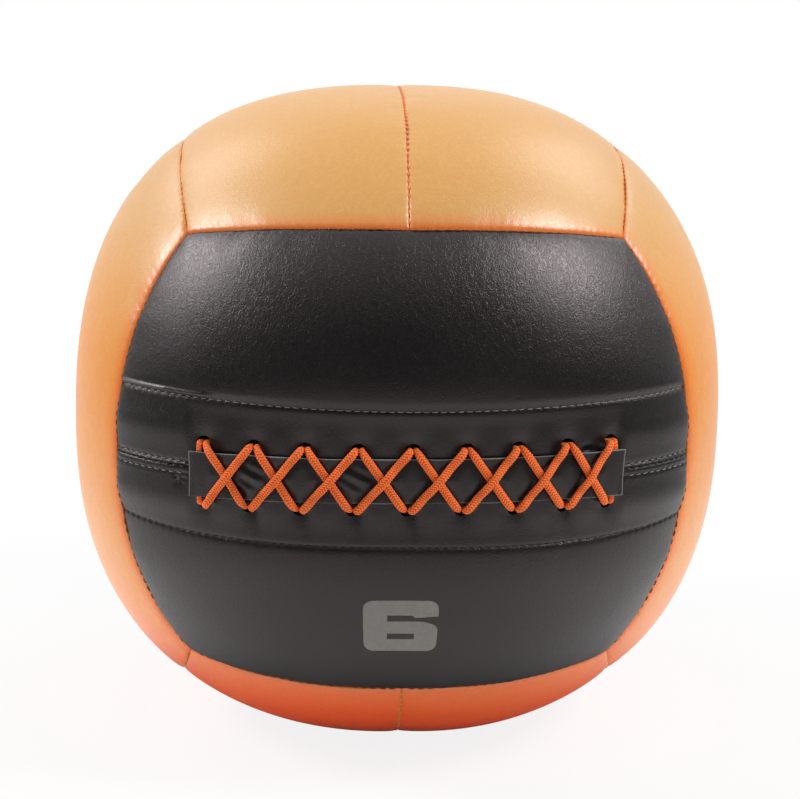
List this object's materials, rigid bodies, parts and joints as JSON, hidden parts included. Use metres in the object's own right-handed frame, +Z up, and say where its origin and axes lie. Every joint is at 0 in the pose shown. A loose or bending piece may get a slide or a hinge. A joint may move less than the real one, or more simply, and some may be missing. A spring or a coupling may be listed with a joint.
{
  "type": "wall ball",
  "caption": "Stuffed leather-look exercise ball with sewn panels and a laced, strip-covered slit.",
  "frame": {"origin": "on the floor under the middle of the ball, where it rests", "axes": "+Z up, -Y out of the laced face, +X to the right as one faces the lacing"},
  "size_m": [0.3482, 0.354, 0.3451],
  "materials": {
    "black_leather": "fine-grained black leather-look vinyl with a soft sheen",
    "orange_leather": "fine-grained orange leather-look vinyl with a soft sheen",
    "foam": "dark closed-cell foam",
    "lace_cord": "braided orange cord",
    "liner_cloth": "plain undyed woven cloth",
    "stuffing_fibre": "packed grey textile fibre",
    "core_canvas": "plain canvas",
    "sand": "dry sand",
    "tie_plastic": "white plastic tie"
  },
  "bodies": {
    "root": {"front_upper_panel": "black_leather", "front_lower_panel": "black_leather", "back_upper_panel": "black_leather", "back_lower_panel": "black_leather", "top_left_panel": "orange_leather", "top_right_panel": "orange_leather", "bottom_left_panel": "orange_leather", "bottom_right_panel": "orange_leather", "left_front_panel": "orange_leather", "left_back_panel": "orange_leather", "right_front_panel": "orange_leather", "right_back_panel": "orange_leather", "front_upper_foam": "foam", "front_lower_foam": "foam", "back_upper_foam": "foam", "back_lower_foam": "foam", "top_left_foam": "foam", "top_right_foam": "foam", "bottom_left_foam": "foam", "bottom_right_foam": "foam", "left_front_foam": "foam", "left_back_foam": "foam", "right_front_foam": "foam", "right_back_foam": "foam", "upper_lace_facing": "black_leather", "lower_lace_facing": "black_leather", "lace_cover_strip": "black_leather", "lace": "lace_cord", "lace_knot": "lace_cord", "liner_upper_half": "liner_cloth", "liner_lower_half": "liner_cloth", "stuffing_upper_half": "stuffing_fibre", "stuffing_lower_half": "stuffing_fibre", "core_bag": "core_canvas", "core_sand": "sand", "core_tie": "tie_plastic"}
  },
  "joints": []
}
